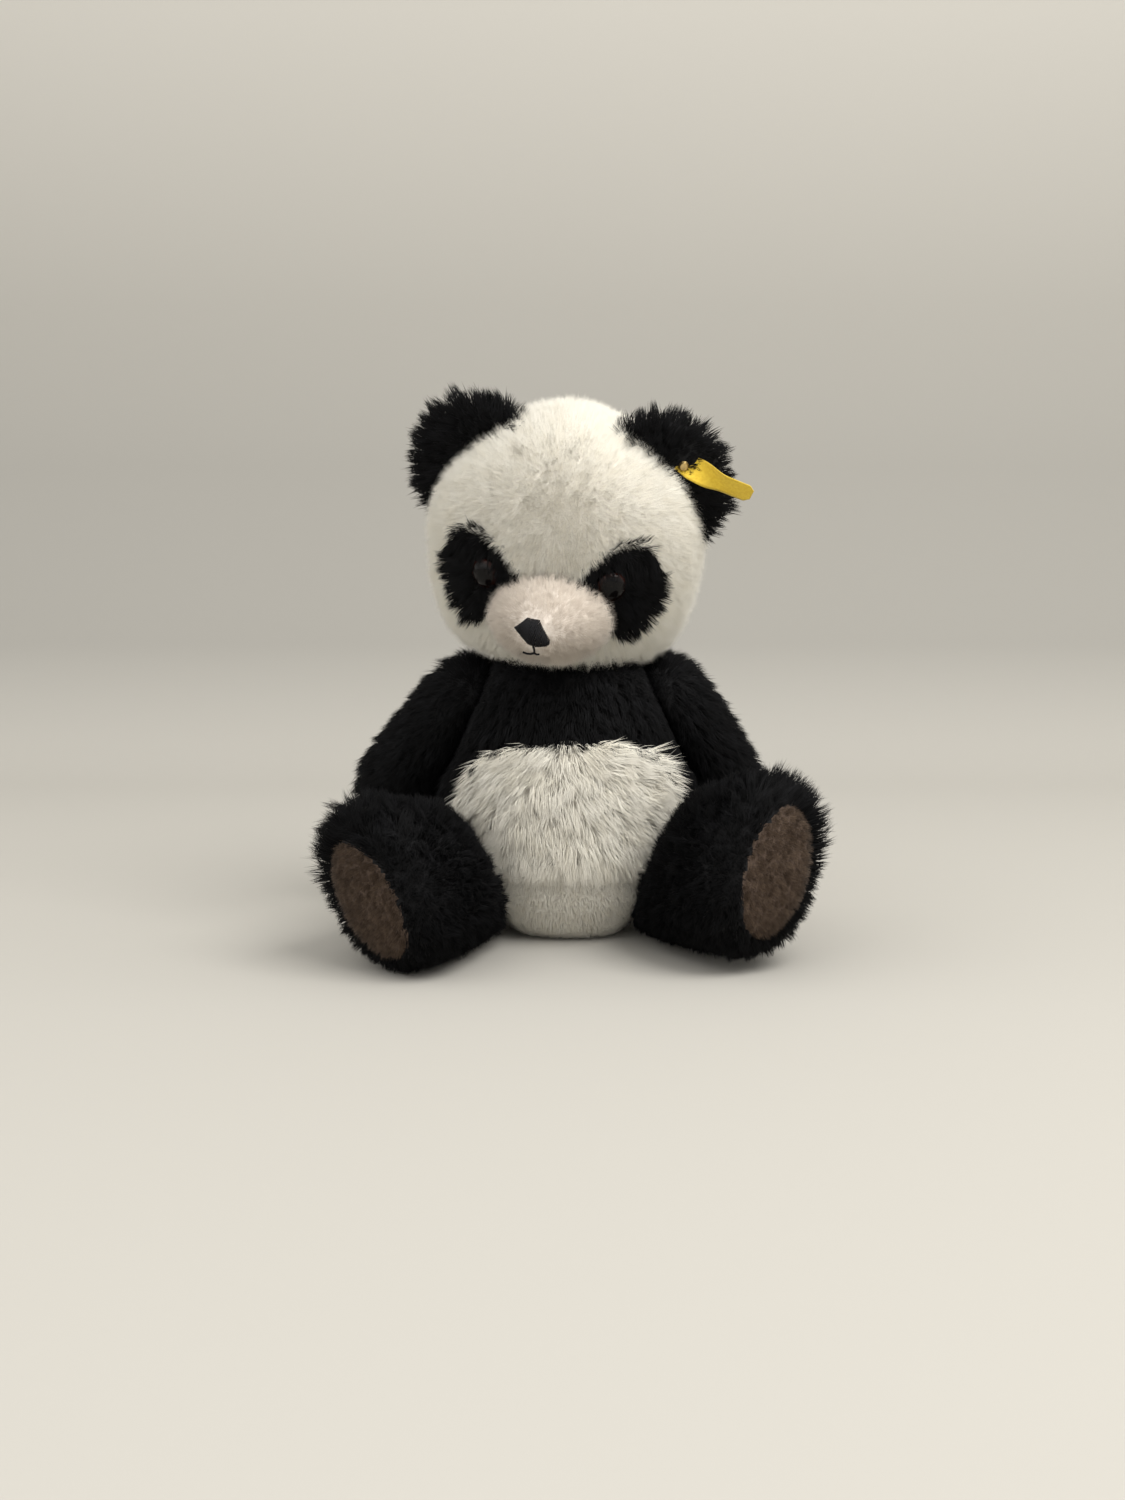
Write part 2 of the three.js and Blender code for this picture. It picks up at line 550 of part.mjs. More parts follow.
// One upright stitch under the nose and a short curved one to each side.
function buildMouth() {
  const top = NOSE_HEIGHT - NOSE.height / 2 - 0.8;
  const fork = top - 2;
  const thread = (points) => {
    const route = points.map(([x, z]) => vec(NOSE.across + x, muzzleFront(NOSE.across + x, z) - 0.75, z));
    const section = new THREE.Shape().absarc(0, 0, 0.55, 0, 2 * Math.PI);
    return solid(new THREE.ExtrudeGeometry(section, {
      steps: 4, curveSegments: 3, extrudePath: new THREE.CatmullRomCurve3(route), bevelEnabled: false,
    }));
  };
  const stitches = thread([[0, top], [0, fork + 0.8], [0, fork - 0.4]])
    .add(thread([[0.3, fork + 0.3], [-2.4, fork - 0.9], [-4.4, fork - 0.2]]))
    .add(thread([[-0.3, fork + 0.3], [2.4, fork - 0.9], [4.4, fork - 0.2]]));
  piece(head, "mouth_stitch", stitches, THREAD);
}

function buildHead() {
  const eyes = limbs.map(({ side, name }) => ({ side, name, seat: eyeFrame(side) }));
  let shell = hollow(headSolid).subtract(fromJoint(postBore(), joints.neck, head));
  let filling = headSolid(SKIN + GAP).subtract(fromJoint(limbCavity(DISC.neck), joints.neck, head));
  for (const { side, name, seat } of eyes) {
    const bore = fromJoint(eyeBore(), seat, head);
    shell = shell.subtract(bore);
    piece(head, `eye_patch_${name}`, shell.intersect(patchCutter(side, -GAP / 2)), BLACK_PLUSH);
    filling = filling.subtract(fromJoint(eyeCavity(), seat, head));
  }
  for (const { side, name, seat } of eyes) {
    shell = shell.subtract(patchCutter(side, GAP / 2));
    piece(seat, `eye_${name}`, eyeBody(), EYE_PLASTIC);
    piece(seat, `eye_washer_${name}`, eyeWasher(), JOINT_PLASTIC);
  }
  const eyeRoom = eyes.map(({ seat }) => fromJoint(rod(EYE.radius + 0.6, -2, 12), seat, head));
  const trimmed = (body) => eyeRoom.reduce((rest, room) => rest.subtract(room), body);
  const grip = headForm(-GAP);
  piece(head, "head_skin", shell, WHITE_PLUSH);
  piece(head, "head_filling", filling, FIBRE);
  piece(head, "muzzle_skin", trimmed(hollow(muzzleSolid).subtract(grip)), WHITE_PLUSH);
  piece(head, "muzzle_filling", muzzleSolid(SKIN + GAP).subtract(grip), FIBRE);
  for (const { side, name } of limbs) buildEar(side, name, earFrame(side));
  buildTag(head.children.find((group) => group.children.some((mesh) => mesh.name === "ear_left")));
  buildNose();
  buildMouth();
}

buildTorso();
buildLimbs();
buildHead();
for (const [label, joint] of Object.entries(joints)) addJointHardware(joint, label, discOf(label));

export default panda;
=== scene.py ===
"""A jointed plush panda sitting on a pale sweep: stuffed bodies, standing pile, domed eyes, stitched nose."""

import json
import math

import bmesh
import bpy
import numpy as np
from mathutils import Matrix, Vector
from mathutils.bvhtree import BVHTree
from mathutils.kdtree import KDTree


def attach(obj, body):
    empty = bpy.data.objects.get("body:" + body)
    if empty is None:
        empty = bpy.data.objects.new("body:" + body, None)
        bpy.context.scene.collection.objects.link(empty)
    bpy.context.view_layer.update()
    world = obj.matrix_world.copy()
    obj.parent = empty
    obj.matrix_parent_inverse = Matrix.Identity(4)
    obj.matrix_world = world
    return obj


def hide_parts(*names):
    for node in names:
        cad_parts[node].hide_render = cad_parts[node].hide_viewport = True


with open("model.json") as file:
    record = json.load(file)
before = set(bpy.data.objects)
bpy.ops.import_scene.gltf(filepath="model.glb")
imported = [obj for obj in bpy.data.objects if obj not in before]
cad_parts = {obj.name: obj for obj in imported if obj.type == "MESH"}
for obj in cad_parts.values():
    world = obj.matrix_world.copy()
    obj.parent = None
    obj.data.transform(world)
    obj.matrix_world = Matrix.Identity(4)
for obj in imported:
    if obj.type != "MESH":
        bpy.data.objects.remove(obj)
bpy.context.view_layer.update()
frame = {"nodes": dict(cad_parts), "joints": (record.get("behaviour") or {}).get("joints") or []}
scene = bpy.context.scene
MM = 0.001
SIDES = (("left", 1), ("right", -1))
JOINTS = {joint["name"]: joint for joint in frame["joints"]}


# ---------- small helpers ----------
def unit(vectors):
    return vectors / np.maximum(np.linalg.norm(vectors, axis=-1, keepdims=True), 1e-12)


def smoothstep(low, high, value):
    t = np.clip((value - low) / (high - low), 0, 1)
    return t * t * (3 - 2 * t)


def coordinates(mesh):
    flat = np.empty(len(mesh.vertices) * 3)
    mesh.vertices.foreach_get("co", flat)
    return flat.reshape(-1, 3)


def node_points(*names):
    return np.concatenate([coordinates(frame["nodes"][name].data) for name in names])


def place_vertices(mesh, points):
    mesh.vertices.foreach_set("co", points.ravel())
    mesh.update()


def surface_tree(mesh):
    corners = [tuple(vertex.co) for vertex in mesh.vertices]
    return BVHTree.FromPolygons(corners, [tuple(face.vertices) for face in mesh.polygons])


def new_object(name, mesh):
    obj = bpy.data.objects.new(name, mesh)
    scene.collection.objects.link(obj)
    return obj


def finished(obj, body, slot, *nodes):
    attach(obj, body)
    if nodes:
        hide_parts(*nodes)
    return obj


def apply_modifiers(obj):
    depsgraph = bpy.context.evaluated_depsgraph_get()
    mesh = bpy.data.meshes.new_from_object(obj.evaluated_get(depsgraph))
    obj.modifiers.clear()
    old = obj.data
    obj.data = mesh
    bpy.data.meshes.remove(old)


# ---------- camera, floor and light ----------
CAMERA = {"place": (-2.5 * MM, -667 * MM, 150 * MM), "down": 6, "lens": 36, "sensor": 36}


def make_camera():
    data = bpy.data.cameras.new("camera")
    data.lens = CAMERA["lens"]
    data.sensor_width = CAMERA["sensor"]
    data.clip_start = 0.01
    camera = bpy.data.objects.new("camera", data)
    camera.location = CAMERA["place"]
    camera.rotation_euler = (math.radians(90 - CAMERA["down"]), 0, 0)
    scene.collection.objects.link(camera)
    scene.camera = camera


def area_light(name, place, aim, size, power, colour):
    data = bpy.data.lights.new(name, "AREA")
    data.size = size
    data.energy = power
    data.color = colour
    light = bpy.data.objects.new(name, data)
    light.location = place
    light.rotation_euler = (Vector(aim) - Vector(place)).to_track_quat("-Z", "Y").to_euler()
    scene.collection.objects.link(light)


def principled(name, roughness=0.8):
    material = bpy.data.materials.new(name)
    material.use_nodes = True
    shader = material.node_tree.nodes["Principled BSDF"]
    shader.inputs["Roughness"].default_value = roughness
    return material, material.node_tree, shader


SWEEP = {"half_width": 3.0, "front": -3.0, "bend_start": 0.5, "bend_radius": 0.45, "bend_steps": 16, "top": 2.2}
PAPER_TINT = (1.0, 0.968, 0.89)
PAPER_PAINTED_SHADE = ((0.0, 0.50), (0.02, 0.48), (0.10, 0.37), (0.28, 0.37), (0.5, 0.45), (0.75, 0.54))  # painted shade by height: a darker band painted round the bend, lighter again up the wall


def make_stage():
    """A paper sweep: a floor that bends up into a wall, with painted shade: a darker band painted where it
    bends.
    """
    outline = [(SWEEP["front"], 0.0), (0.0, 0.0), (SWEEP["bend_start"], 0.0)]
    for angle in np.linspace(0, math.pi / 2, SWEEP["bend_steps"] + 1)[1:]:
        outline.append((SWEEP["bend_start"] + SWEEP["bend_radius"] * math.sin(angle),
                        SWEEP["bend_radius"] * (1 - math.cos(angle))))
    outline.append((SWEEP["bend_start"] + SWEEP["bend_radius"], SWEEP["top"]))
    points = [(x, y, z) for y, z in outline for x in (-SWEEP["half_width"], SWEEP["half_width"])]
    faces = [(2 * i, 2 * i + 1, 2 * i + 3, 2 * i + 2) for i in range(len(outline) - 1)]
    mesh = bpy.data.meshes.new("sweep")
    mesh.from_pydata(points, [], faces)
    mesh.shade_smooth()
    sweep = new_object("sweep", mesh)
    material, tree, shader = principled("paper_sweep_painted_shade", 0.9)
    geometry = tree.nodes.new("ShaderNodeNewGeometry")
    split = tree.nodes.new("ShaderNodeSeparateXYZ")
    tree.links.new(geometry.outputs["Position"], split.inputs[0])
    paper = [(height, tuple(grey * share for share in PAPER_TINT)) for height, grey in PAPER_PAINTED_SHADE]
    # painted shade: the paper's grey follows its height, darkest round the bend
    tree.links.new(ramp(tree, split.outputs["Z"], paper), shader.inputs["Base Color"])
    shader.inputs["Specular IOR Level"].default_value = 0.1
    mesh.materials.append(material)


def make_light():
    """A soft room, a large window high on the right and a weaker fill on the left."""
    world = bpy.data.worlds.new("soft_room")
    scene.world = world
    world.use_nodes = True
    background = world.node_tree.nodes["Background"]
    background.inputs["Color"].default_value = (1.0, 0.985, 0.955, 1)
    background.inputs["Strength"].default_value = 0.98
    area_light("window", place=(0.7, -0.75, 1.25), aim=(0, 0, 0.1), size=0.9, power=18,
               colour=(1.0, 0.98, 0.95))
    area_light("room", place=(-1.0, -0.9, 1.0), aim=(0, 0, 0.12), size=1.4, power=4.5,
               colour=(1.0, 0.98, 0.96))


# ---------- materials ----------
def uv_values(tree, name):
    """The two coordinates of a named UV map, as node sockets."""
    uv = tree.nodes.new("ShaderNodeUVMap")
    uv.uv_map = name
    split = tree.nodes.new("ShaderNodeSeparateXYZ")
    tree.links.new(uv.outputs["UV"], split.inputs[0])
    return split.outputs["X"], split.outputs["Y"]


def ramp(tree, value, stops):
    node = tree.nodes.new("ShaderNodeValToRGB")
    while len(node.color_ramp.elements) < len(stops):
        node.color_ramp.elements.new(0.5)
    for element, (position, colour) in zip(node.color_ramp.elements, stops):
        element.position = position
        element.color = (*colour, 1)
    tree.links.new(value, node.inputs[0])
    return node.outputs[0]


def multiplied(tree, first, second):
    """Two colours multiplied together."""
    mix = tree.nodes.new("ShaderNodeMix")
    mix.data_type = "RGBA"
    mix.blend_type = "MULTIPLY"
    factor, a, b = mix.inputs[0], mix.inputs[6], mix.inputs[7]
    factor.default_value = 1
    tree.links.new(first, a)
    tree.links.new(second, b)
    return mix.outputs[2]


def pile_material(name, tones, root_painted_shade, roughness, sheen=0.0, specular=0.3):
    """Standing pile: the tone runs across a panel's strands, and each strand is painted darker towards its
    root, painted shade where the pile shades its own roots.
    """
    material, tree, shader = principled(name, roughness)
    tone, along = uv_values(tree, "fur")
    colour = ramp(tree, tone, tones)
    # painted shade: each strand is painted darker towards its root, where the pile shades itself
    shade = ramp(tree, along, [(0.0, (root_painted_shade,) * 3), (0.75, (1.0, 1.0, 1.0))])
    tree.links.new(multiplied(tree, colour, shade), shader.inputs["Base Color"])
    shader.inputs["Specular IOR Level"].default_value = specular
    shader.inputs["Sheen Weight"].default_value = sheen
    shader.inputs["Sheen Roughness"].default_value = 0.4
    return material


def noise(tree, scale, detail=4.0):
    node = tree.nodes.new("ShaderNodeTexNoise")
    node.inputs["Scale"].default_value = scale
    node.inputs["Detail"].default_value = detail
    place = tree.nodes.new("ShaderNodeTexCoord")
    tree.links.new(place.outputs["Object"], node.inputs["Vector"])
    return node.outputs["Fac"]


def surface_material(name, dark, light, roughness, grain, bump, **sockets):
    """A mottled surface with a fine bump, for backing cloth, plastic, thread and metal."""
    material, tree, shader = principled(name, roughness)
    value = noise(tree, grain)
    tree.links.new(ramp(tree, value, [(0.3, dark), (0.7, light)]), shader.inputs["Base Color"])
    node = tree.nodes.new("ShaderNodeBump")
    node.inputs["Strength"].default_value = bump
    node.inputs["Distance"].default_value = 0.3 * MM
    tree.links.new(noise(tree, grain * 2.5), node.inputs["Height"])
    tree.links.new(node.outputs["Normal"], shader.inputs["Normal"])
    for socket, setting in sockets.items():
        shader.inputs[socket.replace("_", " ")].default_value = setting
    return material


WHITE_TONES = [(0.0, (0.85, 0.80, 0.67)), (0.35, (0.925, 0.885, 0.775)), (1.0, (0.965, 0.935, 0.84))]
PINK_TONES = [(0.0, (0.60, 0.52, 0.435)), (0.4, (0.70, 0.615, 0.525)), (1.0, (0.78, 0.70, 0.605))]
BLACK_TONES = [(0.0, (0.002, 0.002, 0.0024)), (0.6, (0.0038, 0.0038, 0.0044)), (1.0, (0.010, 0.0103, 0.012))]
BROWN_TONES = [(0.0, (0.030, 0.018, 0.011)), (0.5, (0.080, 0.053, 0.035)), (1.0, (0.17, 0.12, 0.085))]
# root_painted_shade is painted shade: how dark each strand is painted at its root
PILE = {
    "white": pile_material("white_pile", WHITE_TONES, root_painted_shade=0.92, roughness=0.75, sheen=0.25),
    "pink": pile_material("muzzle_pile", PINK_TONES, root_painted_shade=0.84, roughness=0.8, sheen=0.25),
    "black": pile_material("black_pile", BLACK_TONES, root_painted_shade=0.45, roughness=0.7, specular=0.13),
    "brown": pile_material("brown_pile", BROWN_TONES, root_painted_shade=0.55, roughness=0.8, sheen=0.1, specular=0.15),
}
BACKING_LOOKS = {  # dark and light tones of the knitted backing, and how fine its knit is
    "white": ("white_backing", (0.78, 0.74, 0.66), (0.88, 0.845, 0.78), 700),
    "pink": ("muzzle_backing", (0.76, 0.69, 0.62), (0.87, 0.80, 0.73), 800),
    "black": ("black_backing", (0.003, 0.003, 0.004), (0.009, 0.009, 0.01), 700),
    "brown": ("brown_backing", (0.05, 0.032, 0.023), (0.11, 0.075, 0.055), 900),
}
BACKING = {look: surface_material(name, dark, light, roughness=0.95, grain=grain, bump=0.6)
           for look, (name, dark, light, grain) in BACKING_LOOKS.items()}
PLASTIC = surface_material("joint_plastic", (0.7, 0.69, 0.65), (0.78, 0.77, 0.74), roughness=0.5, grain=300,
                           bump=0.1)
THREAD = surface_material("embroidery_thread", (0.003, 0.003, 0.004), (0.010, 0.010, 0.012), roughness=0.7,
                          grain=2500, bump=0.5, Specular_IOR_Level=0.2)
BRASS = surface_material("brass", (0.5, 0.35, 0.13), (0.62, 0.46, 0.2), roughness=0.3, grain=900, bump=0.1,
                         Metallic=1.0)

make_camera()
make_stage()
make_light()
scene.view_settings.view_transform = "Standard"


# ---------- stuffed bodies ----------
def hull_of(name, *nodes):
    """A closed solid round the outside of these CAD nodes."""
    mesh = bpy.data.meshes.new(name)
    work = bmesh.new()
    for point in node_points(*nodes):
        work.verts.new(point)
    bmesh.ops.convex_hull(work, input=work.verts)
    loose = [v for v in work.verts if not v.link_faces]
    bmesh.ops.delete(work, geom=loose, context="VERTS")
    bmesh.ops.recalc_face_normals(work, faces=work.faces)
    work.to_mesh(mesh)
    work.free()
    return new_object(name, mesh)


def relax(obj, voxel, rounds):
    """Remeshes a body evenly and rounds its edges."""
    even = obj.modifiers.new("even", "REMESH")
    even.mode = "VOXEL"
    even.voxel_size = voxel
    soften = obj.modifiers.new("soften", "SMOOTH")
    soften.factor = 0.5
    soften.iterations = rounds
    apply_modifiers(obj)


CLOTH = {"quality": 4, "mass": 0.2, "tension_stiffness": 12, "compression_stiffness": 12,
         "bending_stiffness": 0.4, "use_pressure": True, "uniform_pressure_force": 4.0}


def swell(obj, cap, last_frame=20):
    """Fills a body like a stuffed skin: cloth under pressure, with the move of each point capped."""
    before = coordinates(obj.data)
    cloth = obj.modifiers.new("cloth", "CLOTH")
    for setting, value in CLOTH.items():
        setattr(cloth.settings, setting, value)
    cloth.settings.effector_weights.gravity = 0
    for number in range(1, last_frame + 1):
        scene.frame_set(number)
    apply_modifiers(obj)
    scene.frame_set(1)
    move = coordinates(obj.data) - before
    length = np.linalg.norm(move, axis=1, keepdims=True)
    place_vertices(obj.data, before + move * np.minimum(1, cap / np.maximum(length, 1e-9)))


def nearest_panel(points, nodes):
    """For each point, the index of the CAD node that it lies nearest to."""
    distance = np.empty((len(nodes), len(points)))
    for row, name in enumerate(nodes):
        tree = surface_tree(frame["nodes"][name].data)
        distance[row] = [tree.find_nearest(Vector(point))[3] for point in points]
    return distance.argmin(axis=0)


def dress(obj, panels):
    """Gives each face the backing colour of the CAD panel that it belongs to."""
    for look in panels.values():
        obj.data.materials.append(BACKING[look])
    centres = np.array([face.center for face in obj.data.polygons])
    choice = nearest_panel(centres, list(panels)) if len(panels) > 1 else np.zeros(len(centres), int)
    obj.data.polygons.foreach_set("material_index", choice.astype(np.int32))
    obj.data.shade_smooth()


def lower_to_seat(obj):
    """Keeps a body just above the floor."""
    points = coordinates(obj.data)
    points[:, 2] = np.maximum(points[:, 2], 0.3 * MM)
    place_vertices(obj.data, points)


def stuffed(name, body, panels, extra=(), voxel=3.5 * MM, cap=2.0 * MM, slot="black_plush"):
    """A soft body that stands for the CAD skins in panels, and for the extra nodes hidden inside it."""
    skins = list(panels)
    obj = hull_of(name, *skins)
    relax(obj, voxel, rounds=4)
    swell(obj, cap)
    lower_to_seat(obj)
    dress(obj, panels)
    finished(obj, body, slot, *skins, *extra)
    return obj


HEAD_PANELS = {"head_skin": "white", "eye_patch_left": "black", "eye_patch_right": "black"}
TORSO_PANELS = {"torso_yoke_skin": "black", "belly_panel": "white", "back_and_side_panel": "white"}
bodies = {
    "torso": stuffed("torso_body", "torso", TORSO_PANELS, ("torso_filling", "bean_bag"), slot="belly_plush"),
    "head": stuffed("head_body", "head", HEAD_PANELS, ("head_filling",), slot="white_plush"),
    "muzzle": stuffed("muzzle_body", "head", {"muzzle_skin": "pink"}, ("muzzle_filling",), voxel=2 * MM,
                      cap=1 * MM, slot="white_plush"),
    "tail": stuffed("tail_body", "torso", {"tail": "white"}, voxel=2 * MM, cap=1 * MM, slot="belly_plush"),
}
for side, _ in SIDES:
    bodies[f"arm_{side}"] = stuffed(f"arm_{side}_body", f"arm_{side}", {f"arm_{side}_skin": "black"},
                                    (f"arm_{side}_filling",))
    bodies[f"leg_{side}"] = stuffed(f"leg_{side}_body", f"leg_{side}",
                                    {f"leg_{side}_skin": "black", f"foot_pad_{side}": "brown"},
                                    (f"leg_{side}_filling",), voxel=3 * MM)
    bodies[f"ear_{side}"] = stuffed(f"ear_{side}_body", "head", {f"ear_{side}": "black"}, voxel=2 * MM,
                                    cap=1 * MM)


# ---------- pile ----------
def sample(obj, density, rng):
    """Points spread over a body, with their normals."""
    mesh = obj.data
    mesh.calc_loop_triangles()
    corners = np.empty(len(mesh.loop_triangles) * 3, np.int32)
    mesh.loop_triangles.foreach_get("vertices", corners)
    corners = corners.reshape(-1, 3)
    points = coordinates(mesh)
    normals = np.empty(len(mesh.vertices) * 3)
    mesh.vertices.foreach_get("normal", normals)
    normals = normals.reshape(-1, 3)
    a, b, c = (points[corners[:, k]] for k in range(3))
    areas = np.linalg.norm(np.cross(b - a, c - a), axis=1) / 2
    count = int(areas.sum() / MM ** 2 * density)
    chosen = rng.choice(len(corners), count, p=areas / areas.sum())
    u, v = rng.random((2, count, 1))
    flip = u + v > 1
    u, v = np.where(flip, 1 - u, u), np.where(flip, 1 - v, v)
    spread = a[chosen] * (1 - u - v) + b[chosen] * u + c[chosen] * v
    na, nb, nc = (normals[corners[chosen, k]] for k in range(3))
    return spread, unit(na * (1 - u - v) + nb * u + nc * v)


BLADE = {  # faces and heights of a strand: rings of three points and a tip
    "velvet": ([[0, 1, 3], [1, 2, 3], [2, 0, 3], [2, 1, 0]], [0, 0, 0, 1]),
    "long": ([[0, 1, 4, 3], [1, 2, 5, 4], [2, 0, 3, 5], [3, 4, 6], [4, 5, 6], [5, 3, 6], [2, 1, 0]],
             [0, 0, 0, 0.5, 0.5, 0.5, 1]),
}


SOFTNESS = 0.75  # how far a strand is shaded as the surface under it, which is how dense pile looks


def strand_mesh(name, kind, root, middle, tip, facing, width, tone, rng):
    """Each strand is a closed three-sided blade. A long one also has a ring half-way, where it bends."""
    faces, heights = BLADE[kind]
    size = len(heights)
    count = len(root)
    along = unit((middle if kind == "long" else tip) - root)
    a = unit(np.cross(along, unit(rng.normal(size=(count, 3)))))
    b = np.cross(along, a)
    angles = np.radians([0, 120, 240])
    ring = np.cos(angles)[None, :, None] * a[:, None] + np.sin(angles)[None, :, None] * b[:, None]
    points = np.empty((count, size, 3))
    points[:, 0:3] = root[:, None] + ring * (0.5 * width)[:, None, None]
    if kind == "long":
        points[:, 3:6] = middle[:, None] + ring * (0.42 * width)[:, None, None]
    points[:, -1] = tip
    points[:, :, 2] = np.maximum(points[:, :, 2], 0.15 * MM)
    shading = np.repeat(facing[:, None] * SOFTNESS, size, axis=1)
    for first in range(0, size - 1, 3):
        shading[:, first:first + 3] += ring * (1 - SOFTNESS)
    loops = np.concatenate(faces)
    sizes = np.array([len(face) for face in faces])
    starts = np.concatenate([[0], np.cumsum(sizes)[:-1]])
    mesh = bpy.data.meshes.new(name)
    mesh.vertices.add(count * size)
    mesh.vertices.foreach_set("co", points.ravel())
    mesh.loops.add(count * len(loops))
    corners = loops[None] + size * np.arange(count)[:, None]
    mesh.loops.foreach_set("vertex_index", corners.ravel().astype(np.int32))
    mesh.polygons.add(count * len(sizes))
    offsets = starts[None] + len(loops) * np.arange(count)[:, None]
    mesh.polygons.foreach_set("loop_start", offsets.ravel().astype(np.int32))
    mesh.update(calc_edges=True)
    uv = np.empty((count, len(loops), 2), np.float32)
    uv[:, :, 0] = tone[:, None]
    uv[:, :, 1] = np.array(heights)[loops][None]
    for layer in ("fur", "OFBake"):
        mesh.uv_layers.new(name=layer).data.foreach_set("uv", uv.ravel())
    mesh.shade_smooth()
    custom = mesh.attributes.new("custom_normal", "FLOAT_VECTOR", "POINT")
    custom.data.foreach_set("vector", unit(shading).astype(np.float32).ravel())
    return mesh


STRANDS_PER_PIECE = {"velvet": 48000, "long": 19000}
DOWN = np.array([0, 0, -1.0])
DENSITY = {"head": 6.0, "muzzle": 7.0, "ear": 2.6, "torso": 3.2, "arm": 2.2, "leg": 2.2, "foot_pad": 7.0,
           "tail": 2.0}  # strands per square millimetre
LENGTH = {"head": 5.6, "eye_patch": 7.2, "muzzle": 4.6, "ear": 8.0, "under_tag": 3.0, "belly": 12.0,
          "shorn_belly": 3.6, "yoke": 8.5, "back": 9.0, "arm": 7.8, "leg": 7.4, "foot_pad": 2.6, "tail": 8.0}
STYLE = {  # how each pile is made and how it lies: see grow
    "head": dict(kind="velvet", width=0.22, clump=3.0, pull=0.28, stray=0.16, tuft=0.08, bend=0.6, hang=0.1),
    "eye_patch": dict(width=0.32, clump=3.0, pull=0.6, stray=0.14, tuft=0.14, bend=0.4, hang=0.05),
    "muzzle": dict(kind="velvet", width=0.22, clump=2.0, pull=0.35, stray=0.28, tuft=0.12, bend=0.4, hang=0.05),
    "ear": dict(width=0.32, clump=2.8, pull=0.65, stray=0.15, tuft=0.2, bend=0.4, hang=0.05),
    "belly": dict(width=0.26, clump=4.4, pull=0.36, stray=0.2, tuft=0.2, bend=0.65, hang=0.1),
    "shorn_belly": dict(width=0.34, clump=3.0, pull=0.3, stray=0.15, tuft=0.06, bend=0.7, hang=0.15),
    "yoke": dict(width=0.34, clump=3.0, pull=0.55, stray=0.15, tuft=0.13),
    "back": dict(width=0.32, clump=3.8, pull=0.55, stray=0.18, tuft=0.15),
    "arm": dict(width=0.34, clump=3.0, pull=0.55, stray=0.15, tuft=0.15),
    "leg": dict(width=0.34, clump=3.0, pull=0.6, stray=0.15, tuft=0.17, bend=0.4, hang=0.1),
    "foot_pad": dict(kind="velvet", width=0.26, clump=2.0, pull=0.4, stray=0.3, tuft=0.2),
    "tail": dict(width=0.34, clump=3.5, pull=0.6),
}


def clump_owners(points, spacing, rng):
    """For each strand, the strand that its clump gathers round."""
    tree = KDTree(len(points))
    for i, point in enumerate(points):
        tree.insert(point, i)
    tree.balance()
    owner = np.full(len(points), -1)
    for i in rng.permutation(len(points)):
        if owner[i] < 0:
            for _, j, _ in tree.find_range(points[i], spacing * rng.uniform(0.5, 1.0)):
                if owner[j] < 0:
                    owner[j] = i
    return owner


def grow(name, body, slot, look, points, normals, comb, length, rng, kind="long", width=0.34, clump=4.0,
         pull=0.6, stray=0.25, tuft=0.2, bend=0.5, hang=0.15):
    """Grows pile: comb leans each strand, and pull gathers strands into clumps about clump mm across.

    comb is a tangent vector for each strand, as long as the lean is strong. length is in metres and width
    in millimetres. stray turns single strands, and tuft turns and lengthens whole clumps. bend curves a
    strand over, and hang lets its tip droop.
    """
    kept = length > 0.8 * MM
    points, normals, comb, length = points[kept], normals[kept], comb[kept], length[kept]
    count = len(points)
    if count == 0:
        return
    owner = clump_owners(points, clump * MM, rng)
    astray = rng.normal(size=(count, 3)) * stray + (rng.normal(size=(count, 3)) * tuft)[owner]
    length = length * (1 + 0.15 * rng.normal(size=count).clip(-2, 2))
    length = length * (1 + 0.6 * tuft * rng.normal(size=count).clip(-1.5, 1.5))[owner]
    first = unit(normals + comb * (1 - bend * 0.5) + astray * 0.7)
    second = unit(normals * (1 - bend * 0.6) + comb * (1 + bend * 0.5) + astray * 1.3 + DOWN * hang)
    root = points - normals * 1.5 * MM
    middle = points + first * (0.5 * length)[:, None]
    tip = middle + second * (0.5 * length)[:, None]
    gather = (pull * rng.uniform(0.6, 1.2, count).clip(0, 1))[:, None]
    middle += (middle[owner] - middle) * gather * 0.3
    tip += (tip[owner] - tip) * gather * 0.85
    tone = (0.5 * rng.random(count)[owner] + 0.5 * rng.random(count)).clip(0, 1)
    thick = width * MM * rng.uniform(0.75, 1.25, count)
    pieces = math.ceil(count / STRANDS_PER_PIECE[kind])
    order = np.argsort(points[:, 0], kind="stable") if pieces > 1 else np.arange(count)
    for number, rows in enumerate(np.array_split(order, pieces), 1):
        label = name if pieces == 1 else f"{name}_{number}"
        mesh = strand_mesh(label, kind, root[rows], middle[rows], tip[rows], normals[rows], thick[rows],
                           tone[rows], rng)
        mesh.materials.append(PILE[look])
        finished(new_object(label, mesh), body, slot)


def tangent(vectors, normals):
    """The part of each vector that lies along the surface."""
    return vectors - normals * np.sum(vectors * normals, axis=1, keepdims=True)


def plane_clearance(points, joint_name, reach):
    """0 beside a joint, where two bodies press their pile flat, rising to 1 at reach from its plane."""
    joint = JOINTS[joint_name]
    centre = np.array(joint["pos_m"])
    axis = unit(np.array(joint["axis"]))
    off = np.abs((points - centre) @ axis)
    across = np.linalg.norm(np.cross(points - centre, axis), axis=1)
    near = smoothstep(0, reach, off)
    return np.maximum(near, smoothstep(26 * MM, 40 * MM, across))


def inside(points, obj, margin=0.0):
    """Which points lie inside a body, or no further than margin outside it."""
    tree = surface_tree(obj.data)
    result = np.zeros(len(points), bool)
    low = np.array(obj.bound_box).min(0) - margin
    high = np.array(obj.bound_box).max(0) + margin
    for i in np.flatnonzero(((points > low) & (points < high)).all(axis=1)):
        spot, normal, _, _ = tree.find_nearest(Vector(points[i]))
        result[i] = (Vector(points[i]) - spot).dot(normal) < margin
    return result


